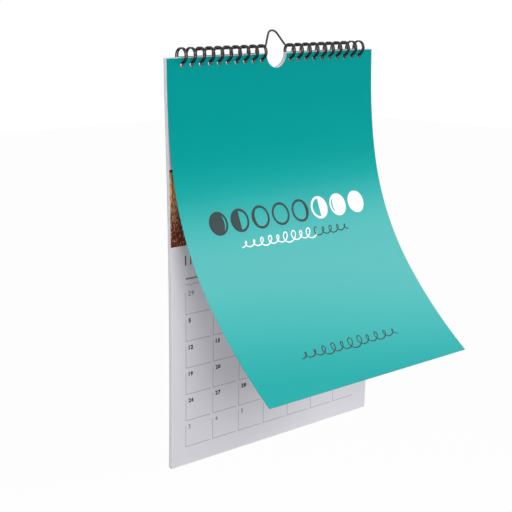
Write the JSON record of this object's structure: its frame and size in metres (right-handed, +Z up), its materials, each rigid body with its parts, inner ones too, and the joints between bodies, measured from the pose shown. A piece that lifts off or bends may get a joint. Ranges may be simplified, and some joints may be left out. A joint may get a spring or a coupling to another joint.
{
  "type": "wall calendar",
  "caption": "Wire-bound wall calendar with a bent-up front cover, a block of month sheets, a back board and a wire hanger that goes over a hook",
  "frame": {"origin": "the point inside the top of the hanger's raised middle, where the hook or nail carries it, on the calendar's middle line", "axes": "X runs to the right along the top edge, +Y points back to the wall, so the sheets face -Y, and Z is up"},
  "size_m": [0.21, 0.1088, 0.3146],
  "materials": {
    "cover_paper": "satin",
    "page_paper": "matte",
    "board_card": "matte",
    "binding_wire": "satin",
    "hanger_wire": "satin"
  },
  "bodies": {
    "hanger": {"hanger": "hanger_wire"},
    "calendar": {"month_pages": "page_paper", "back_board": "board_card", "binding_wire_left": "binding_wire", "binding_wire_right": "binding_wire"},
    "front_cover": {"front_cover": "cover_paper"}
  },
  "joints": [
    {"name": "calendar_swing", "type": "hinge", "parent": "hanger", "child": "calendar", "pos_m": [0, -0.00386, -0.01083], "axis": [-1, 0, 0], "range_deg": [-145, 60]},
    {"name": "cover_turn", "type": "hinge", "parent": "calendar", "child": "front_cover", "pos_m": [0, -0.00386, -0.01445], "axis": [-1, 0, 0], "range_deg": [0, 130]}
  ]
}
